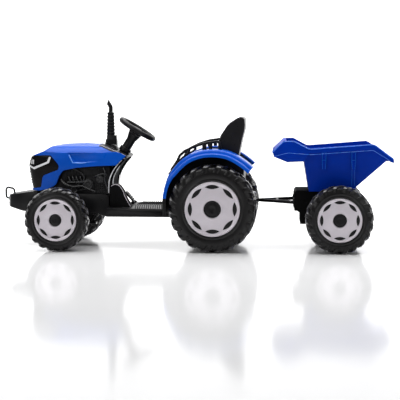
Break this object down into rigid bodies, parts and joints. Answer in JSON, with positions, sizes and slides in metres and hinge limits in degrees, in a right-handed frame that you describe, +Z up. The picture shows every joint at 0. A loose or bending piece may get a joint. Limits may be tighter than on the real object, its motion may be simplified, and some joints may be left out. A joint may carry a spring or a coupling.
{
  "type": "toy tractor",
  "caption": "Battery ride-on toy tractor with bucket seat, steered front wheels and a hitched trailer with a tipping tub.",
  "frame": {"origin": "on the ground plane, at the centre of the bounding box of tractor and trailer in line", "axes": "+X from the tractor's nose back to the trailer's tail, +Y to the tractor's right-hand side, +Z up"},
  "size_m": [1.4314, 0.474, 0.54],
  "materials": {
    "blue_gloss": "moulded gloss, painted-look polypropylene",
    "blue_tub": "moulded semi-gloss polypropylene",
    "black_plastic": "satin moulded plastic",
    "black_gloss": "gloss black front panel",
    "seat_plastic": "grained moulded plastic",
    "tread_plastic": "satin blow-moulded plastic",
    "silver_plastic": "silver-painted plastic",
    "lens_dark": "smoked headlight lens",
    "lamp_white": "white light guide",
    "dark_steel": "black-painted steel",
    "zinc_steel": "zinc-plated steel",
    "battery_case": "plain plastic case",
    "socket_nickel": "nickel-plated jack"
  },
  "bodies": {
    "tractor": {"chassis": "black_plastic", "front_bumper": "black_plastic", "front_tow_loop": "dark_steel", "hood": "blue_gloss", "grille_panel": "black_gloss", "headlight_lenses": "lens_dark", "light_strips": "lamp_white", "engine_block": "black_plastic", "dashboard": "black_plastic", "firewall": "black_plastic", "exhaust_stack": "black_plastic", "steering_column": "black_plastic", "footboard": "black_plastic", "left_fender": "blue_gloss", "right_fender": "blue_gloss", "left_grab_rail": "black_plastic", "right_grab_rail": "black_plastic", "seat": "seat_plastic", "rear_housing": "black_plastic", "battery": "battery_case", "control_box": "black_plastic", "charging_socket": "socket_nickel", "front_axle": "dark_steel", "rear_axle": "zinc_steel", "drive_gearboxes": "black_plastic", "hitch_bracket": "black_plastic", "body_screws": "black_plastic"},
    "steering": {"steering_wheel": "black_plastic", "steering_shaft": "dark_steel"},
    "horn": {"horn_button": "black_plastic"},
    "steering_link": {"tie_rod": "dark_steel"},
    "knuckle_left": {"left_knuckle": "dark_steel"},
    "knuckle_right": {"right_knuckle": "dark_steel"},
    "pedal": {"foot_pedal": "black_plastic"},
    "rocker": {"direction_switch": "black_plastic"},
    "power": {"power_button": "black_plastic"},
    "pin": {"hitch_pin": "zinc_steel"},
    "trailer": {"trailer_chassis": "black_plastic", "drawbar": "black_plastic", "trailer_axle": "zinc_steel", "tub_hinge_pin": "zinc_steel"},
    "tipper": {"tub": "blue_tub"},
    "front_left_wheel": {"front_left_tyre": "tread_plastic", "front_left_hubcap": "silver_plastic", "front_left_cap": "black_plastic"},
    "front_right_wheel": {"front_right_tyre": "tread_plastic", "front_right_hubcap": "silver_plastic", "front_right_cap": "black_plastic"},
    "rear_left_wheel": {"rear_left_tyre": "tread_plastic", "rear_left_hubcap": "silver_plastic", "rear_left_cap": "black_plastic"},
    "rear_right_wheel": {"rear_right_tyre": "tread_plastic", "rear_right_hubcap": "silver_plastic", "rear_right_cap": "black_plastic"},
    "trailer_left_wheel": {"trailer_left_tyre": "tread_plastic", "trailer_left_hubcap": "silver_plastic", "trailer_left_cap": "black_plastic"},
    "trailer_right_wheel": {"trailer_right_tyre": "tread_plastic", "trailer_right_hubcap": "silver_plastic", "trailer_right_cap": "black_plastic"}
  },
  "joints": [
    {"name": "steering_turn", "type": "hinge", "parent": "tractor", "child": "steering", "pos_m": [-0.214, 0, 0.4305], "axis": [0.5255, 0, 0.8508], "range_deg": [-35, 35]},
    {"name": "horn_press", "type": "slide", "parent": "steering", "child": "horn", "axis": [0.5255, 0, 0.8508], "range_m": [-0.002, 0], "stiffness_N_per_m": 400, "springref_m": 0.001},
    {"name": "steering_link_slide", "type": "slide", "parent": "tractor", "child": "steering_link", "axis": [0, 1, 0], "range_m": [-0.021, 0.021]},
    {"name": "left_knuckle_turn", "type": "hinge", "parent": "tractor", "child": "knuckle_left", "pos_m": [-0.48, -0.13, 0.1135], "axis": [0, 0, 1], "range_deg": [-26, 26]},
    {"name": "right_knuckle_turn", "type": "hinge", "parent": "tractor", "child": "knuckle_right", "pos_m": [-0.48, 0.13, 0.1135], "axis": [0, 0, 1], "range_deg": [-26, 26]},
    {"name": "pedal_press", "type": "hinge", "parent": "tractor", "child": "pedal", "pos_m": [-0.238, 0.065, 0.1555], "axis": [0, 1, 0], "range_deg": [-8, 0], "stiffness_Nm_per_rad": 0.6, "springref_deg": 5.73},
    {"name": "direction_rocker", "type": "hinge", "parent": "tractor", "child": "rocker", "pos_m": [-0.26298, -0.062, 0.34083], "axis": [0, 1, 0], "range_deg": [-10, 10]},
    {"name": "power_press", "type": "slide", "parent": "tractor", "child": "power", "axis": [0.3903, 0, 0.9207], "range_m": [-0.002, 0], "stiffness_N_per_m": 400, "springref_m": 0.001},
    {"name": "hitch_pin_pull", "type": "slide", "parent": "tractor", "child": "pin", "axis": [0, 0, 1], "range_m": [0, 0.06]},
    {"name": "trailer_yaw", "type": "hinge", "parent": "tractor", "child": "trailer", "pos_m": [0.215, 0, 0.17], "axis": [0, 0, 1], "range_deg": [-35, 35]},
    {"name": "tub_tip", "type": "hinge", "parent": "trailer", "child": "tipper", "pos_m": [0.575, 0, 0.205], "axis": [0, 1, 0], "range_deg": [0, 45]},
    {"name": "front_left_wheel_spin", "type": "hinge", "parent": "knuckle_left", "child": "front_left_wheel", "pos_m": [-0.48, -0.198, 0.1135], "axis": [0, 1, 0], "continuous": true},
    {"name": "front_right_wheel_spin", "type": "hinge", "parent": "knuckle_right", "child": "front_right_wheel", "pos_m": [-0.48, 0.198, 0.1135], "axis": [0, 1, 0], "continuous": true},
    {"name": "rear_left_wheel_spin", "type": "hinge", "parent": "tractor", "child": "rear_left_wheel", "pos_m": [0.078, -0.198, 0.156], "axis": [0, 1, 0], "continuous": true},
    {"name": "rear_right_wheel_spin", "type": "hinge", "parent": "tractor", "child": "rear_right_wheel", "pos_m": [0.078, 0.198, 0.156], "axis": [0, 1, 0], "continuous": true},
    {"name": "trailer_left_wheel_spin", "type": "hinge", "parent": "trailer", "child": "trailer_left_wheel", "pos_m": [0.524, -0.198, 0.1195], "axis": [0, 1, 0], "continuous": true},
    {"name": "trailer_right_wheel_spin", "type": "hinge", "parent": "trailer", "child": "trailer_right_wheel", "pos_m": [0.524, 0.198, 0.1195], "axis": [0, 1, 0], "continuous": true}
  ],
  "couplings": [
    {"joint": "steering_link_slide", "follows": "steering_turn", "m_per_rad": 0.0319},
    {"joint": "left_knuckle_turn", "follows": "steering_turn", "ratio": 0.714},
    {"joint": "right_knuckle_turn", "follows": "steering_turn", "ratio": 0.714}
  ]
}
